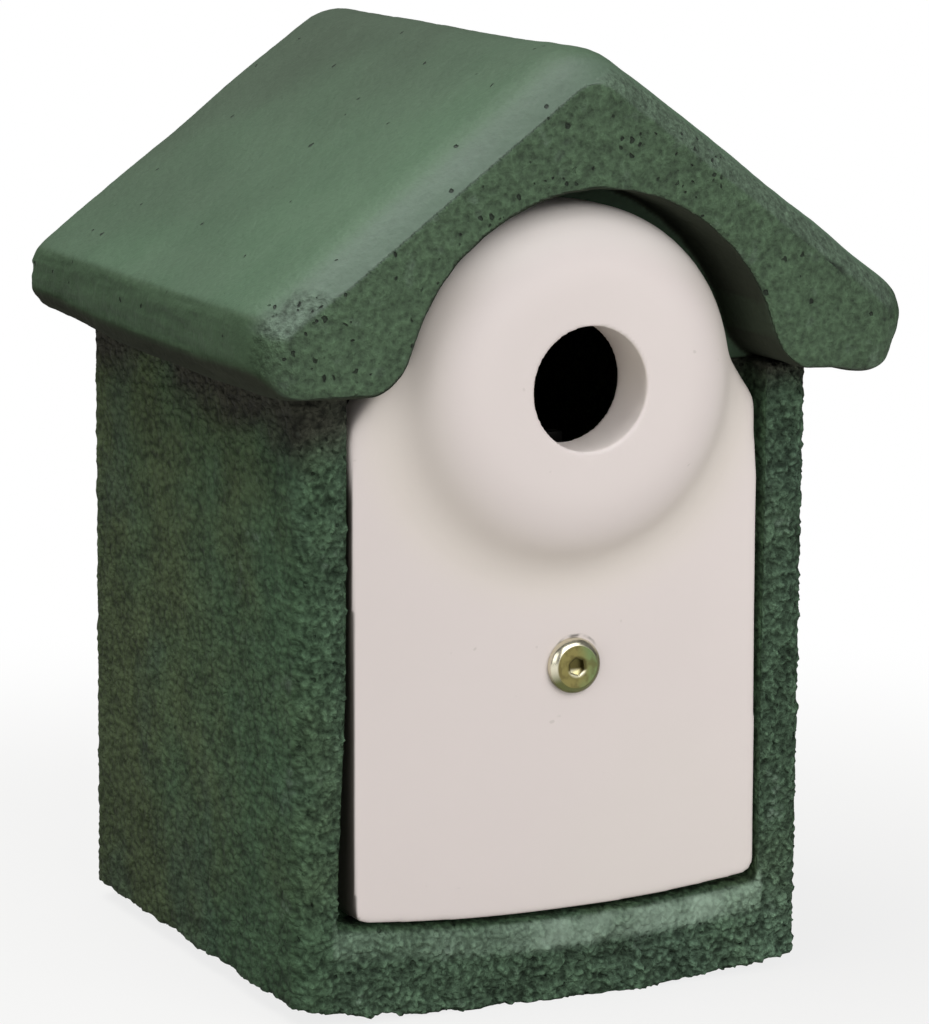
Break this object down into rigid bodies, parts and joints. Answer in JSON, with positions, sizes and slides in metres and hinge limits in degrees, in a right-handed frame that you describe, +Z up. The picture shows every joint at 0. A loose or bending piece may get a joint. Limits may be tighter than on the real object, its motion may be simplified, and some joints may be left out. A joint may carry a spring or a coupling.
{
  "type": "moulded nest box",
  "caption": "Moulded wood-concrete nest box with a gabled roof, an arched front lip and a smooth lift-off front panel with a round entrance, held by a bolt and turn bar.",
  "frame": {"origin": "middle of the underside of the body", "axes": "+Z up, the front panel faces -Y, +X to the right as seen from the front"},
  "size_m": [0.185, 0.162, 0.2481],
  "materials": {
    "green_body": "rough green wood-concrete, matt",
    "green_roof": "smoother green wood-concrete, matt",
    "pale_panel": "smooth pale casting, satin",
    "yellow_zinc": "yellow zinc plate, satin",
    "zinc_steel": "bright zinc plate"
  },
  "bodies": {
    "box": {"body_shell": "green_body", "roof": "green_roof"},
    "front": {"front_panel": "pale_panel"},
    "lock": {"lock_bolt": "yellow_zinc", "turn_bar": "zinc_steel", "bar_washer": "zinc_steel", "lock_nut": "zinc_steel"}
  },
  "joints": [
    {"name": "panel_slide", "type": "slide", "parent": "box", "child": "front", "axis": [0, -1, 0], "range_m": [0, 0.12]},
    {"name": "bolt_turn", "type": "hinge", "parent": "front", "child": "lock", "pos_m": [0.004, -0.0725, 0.089], "axis": [0, -1, 0], "range_deg": [0, 90]}
  ]
}
